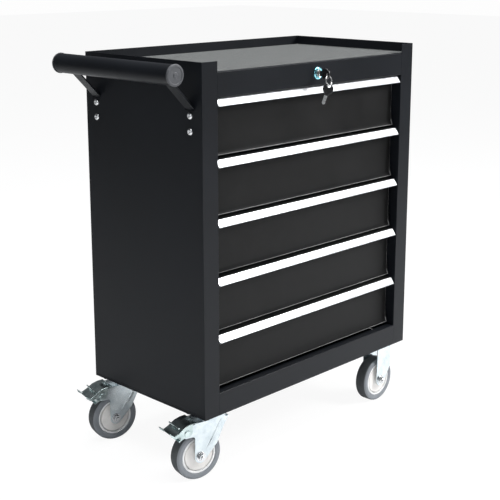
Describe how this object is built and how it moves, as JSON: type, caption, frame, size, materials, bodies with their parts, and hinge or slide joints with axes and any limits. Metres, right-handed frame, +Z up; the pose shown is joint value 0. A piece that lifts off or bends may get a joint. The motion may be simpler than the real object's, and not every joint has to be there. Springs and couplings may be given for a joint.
{
  "type": "tool cart",
  "caption": "Steel drawer cabinet on braked swivel and fixed casters, with full-width drawer pulls, a matted top inside a raised edge, a side push handle and a lock.",
  "frame": {"origin": "centre of the bounding box on the floor", "axes": "+Z up, -Y the drawer side, -X the handle side"},
  "size_m": [0.6955, 0.3664, 0.8035],
  "materials": {
    "cabinet_paint": "satin powder coat",
    "drawer_paint": "satin powder coat",
    "mat": "fine ribbed matt",
    "inner_steel": "satin powder coat",
    "zinc_steel": "bright zinc plate",
    "bright_steel": "nickel plate",
    "chrome": "polished",
    "brass": "satin",
    "key_plastic": "moulded black",
    "plug_plastic": "moulded black",
    "pull_aluminium": "satin anodised",
    "wheel_plastic": "moulded off-white",
    "tyre": "soft grey tread rubber"
  },
  "bodies": {
    "cabinet": {"left_side_panel": "cabinet_paint", "right_side_panel": "cabinet_paint", "back_panel": "cabinet_paint", "base_pan": "cabinet_paint", "top_rail": "cabinet_paint", "top_tray": "cabinet_paint", "top_mat": "mat", "rear_uprights": "inner_steel", "slide_outer_members": "zinc_steel", "handle_tube": "cabinet_paint", "handle_end_plugs": "plug_plastic", "handle_brackets": "cabinet_paint", "handle_bolts": "bright_steel", "lock_body": "chrome", "lock_nut": "bright_steel", "caster_bolts": "zinc_steel", "swivel_caster_plates": "zinc_steel", "fixed_caster_forks": "zinc_steel", "fixed_caster_axles": "zinc_steel"},
    "lock_cylinder": {"lock_plug": "brass", "lock_rod": "zinc_steel"},
    "lock_bar": {"lock_bar": "inner_steel"},
    "key": {"key": "key_plastic"},
    "key_ring": {"key_ring": "bright_steel"},
    "drawer_1": {"drawer_1_box": "drawer_paint", "drawer_1_pull": "pull_aluminium", "drawer_1_slides": "zinc_steel"},
    "ball_cages_1": {"drawer_1_ball_cages": "zinc_steel"},
    "drawer_2": {"drawer_2_box": "drawer_paint", "drawer_2_pull": "pull_aluminium", "drawer_2_slides": "zinc_steel"},
    "ball_cages_2": {"drawer_2_ball_cages": "zinc_steel"},
    "drawer_3": {"drawer_3_box": "drawer_paint", "drawer_3_pull": "pull_aluminium", "drawer_3_slides": "zinc_steel"},
    "ball_cages_3": {"drawer_3_ball_cages": "zinc_steel"},
    "drawer_4": {"drawer_4_box": "drawer_paint", "drawer_4_pull": "pull_aluminium", "drawer_4_slides": "zinc_steel"},
    "ball_cages_4": {"drawer_4_ball_cages": "zinc_steel"},
    "drawer_5": {"drawer_5_box": "drawer_paint", "drawer_5_pull": "pull_aluminium", "drawer_5_slides": "zinc_steel"},
    "ball_cages_5": {"drawer_5_ball_cages": "zinc_steel"},
    "front_swivel_fork": {"front_swivel_fork": "zinc_steel", "front_swivel_axle": "zinc_steel"},
    "front_brake_pedal": {"front_brake_pedal": "zinc_steel"},
    "front_swivel_wheel": {"front_swivel_wheel": "wheel_plastic", "front_swivel_tyre": "tyre"},
    "front_fixed_wheel": {"front_fixed_wheel": "wheel_plastic", "front_fixed_tyre": "tyre"},
    "rear_swivel_fork": {"rear_swivel_fork": "zinc_steel", "rear_swivel_axle": "zinc_steel"},
    "rear_brake_pedal": {"rear_brake_pedal": "zinc_steel"},
    "rear_swivel_wheel": {"rear_swivel_wheel": "wheel_plastic", "rear_swivel_tyre": "tyre"},
    "rear_fixed_wheel": {"rear_fixed_wheel": "wheel_plastic", "rear_fixed_tyre": "tyre"}
  },
  "joints": [
    {"name": "drawer_1_slide", "type": "slide", "parent": "cabinet", "child": "drawer_1", "axis": [0, -1, 0], "range_m": [0, 0.2]},
    {"name": "ball_cages_1_slide", "type": "slide", "parent": "cabinet", "child": "ball_cages_1", "axis": [0, -1, 0], "range_m": [0, 0.1]},
    {"name": "drawer_2_slide", "type": "slide", "parent": "cabinet", "child": "drawer_2", "axis": [0, -1, 0], "range_m": [0, 0.2]},
    {"name": "ball_cages_2_slide", "type": "slide", "parent": "cabinet", "child": "ball_cages_2", "axis": [0, -1, 0], "range_m": [0, 0.1]},
    {"name": "drawer_3_slide", "type": "slide", "parent": "cabinet", "child": "drawer_3", "axis": [0, -1, 0], "range_m": [0, 0.2]},
    {"name": "ball_cages_3_slide", "type": "slide", "parent": "cabinet", "child": "ball_cages_3", "axis": [0, -1, 0], "range_m": [0, 0.1]},
    {"name": "drawer_4_slide", "type": "slide", "parent": "cabinet", "child": "drawer_4", "axis": [0, -1, 0], "range_m": [0, 0.2]},
    {"name": "ball_cages_4_slide", "type": "slide", "parent": "cabinet", "child": "ball_cages_4", "axis": [0, -1, 0], "range_m": [0, 0.1]},
    {"name": "drawer_5_slide", "type": "slide", "parent": "cabinet", "child": "drawer_5", "axis": [0, -1, 0], "range_m": [0, 0.2]},
    {"name": "ball_cages_5_slide", "type": "slide", "parent": "cabinet", "child": "ball_cages_5", "axis": [0, -1, 0], "range_m": [0, 0.1]},
    {"name": "lock_turn", "type": "hinge", "parent": "cabinet", "child": "lock_cylinder", "pos_m": [0.03975, -0.1515, 0.761], "axis": [0, 1, 0], "range_deg": [0, 90]},
    {"name": "lock_bar_slide", "type": "slide", "parent": "cabinet", "child": "lock_bar", "axis": [0, 0, -1], "range_m": [0, 0.00848]},
    {"name": "key_slide", "type": "slide", "parent": "lock_cylinder", "child": "key", "axis": [0, -1, 0], "range_m": [0, 0.03]},
    {"name": "key_ring_swing", "type": "hinge", "parent": "key", "child": "key_ring", "pos_m": [0.03975, -0.1725, 0.7591], "axis": [1, 0, 0], "range_deg": [-40, 8]},
    {"name": "front_swivel", "type": "hinge", "parent": "cabinet", "child": "front_swivel_fork", "pos_m": [-0.21425, -0.1135, 0.1005], "axis": [0, 0, 1], "continuous": true},
    {"name": "front_brake", "type": "hinge", "parent": "front_swivel_fork", "child": "front_brake_pedal", "pos_m": [-0.28076, -0.09936, 0.1045], "axis": [-0.2079, -0.9781, 0], "range_deg": [0, 15]},
    {"name": "front_swivel_wheel_spin", "type": "hinge", "parent": "front_swivel_fork", "child": "front_swivel_wheel", "pos_m": [-0.25142, -0.1056, 0.0495], "axis": [-0.2079, -0.9781, 0], "continuous": true},
    {"name": "front_fixed_wheel_spin", "type": "hinge", "parent": "cabinet", "child": "front_fixed_wheel", "pos_m": [0.29175, -0.1135, 0.0495], "axis": [0, 1, 0], "continuous": true},
    {"name": "rear_swivel", "type": "hinge", "parent": "cabinet", "child": "rear_swivel_fork", "pos_m": [-0.21425, 0.1405, 0.1005], "axis": [0, 0, 1], "continuous": true},
    {"name": "rear_brake", "type": "hinge", "parent": "rear_swivel_fork", "child": "rear_brake_pedal", "pos_m": [-0.28023, 0.15695, 0.1045], "axis": [-0.2419, -0.9703, 0], "range_deg": [0, 15]},
    {"name": "rear_swivel_wheel_spin", "type": "hinge", "parent": "rear_swivel_fork", "child": "rear_swivel_wheel", "pos_m": [-0.25112, 0.14969, 0.0495], "axis": [-0.2419, -0.9703, 0], "continuous": true},
    {"name": "rear_fixed_wheel_spin", "type": "hinge", "parent": "cabinet", "child": "rear_fixed_wheel", "pos_m": [0.29175, 0.1405, 0.0495], "axis": [0, 1, 0], "continuous": true}
  ],
  "couplings": [
    {"joint": "ball_cages_1_slide", "follows": "drawer_1_slide", "ratio": 0.5},
    {"joint": "ball_cages_2_slide", "follows": "drawer_2_slide", "ratio": 0.5},
    {"joint": "ball_cages_3_slide", "follows": "drawer_3_slide", "ratio": 0.5},
    {"joint": "ball_cages_4_slide", "follows": "drawer_4_slide", "ratio": 0.5},
    {"joint": "ball_cages_5_slide", "follows": "drawer_5_slide", "ratio": 0.5},
    {"joint": "lock_turn", "follows": "lock_bar_slide", "rad_per_m": 185.12}
  ]
}
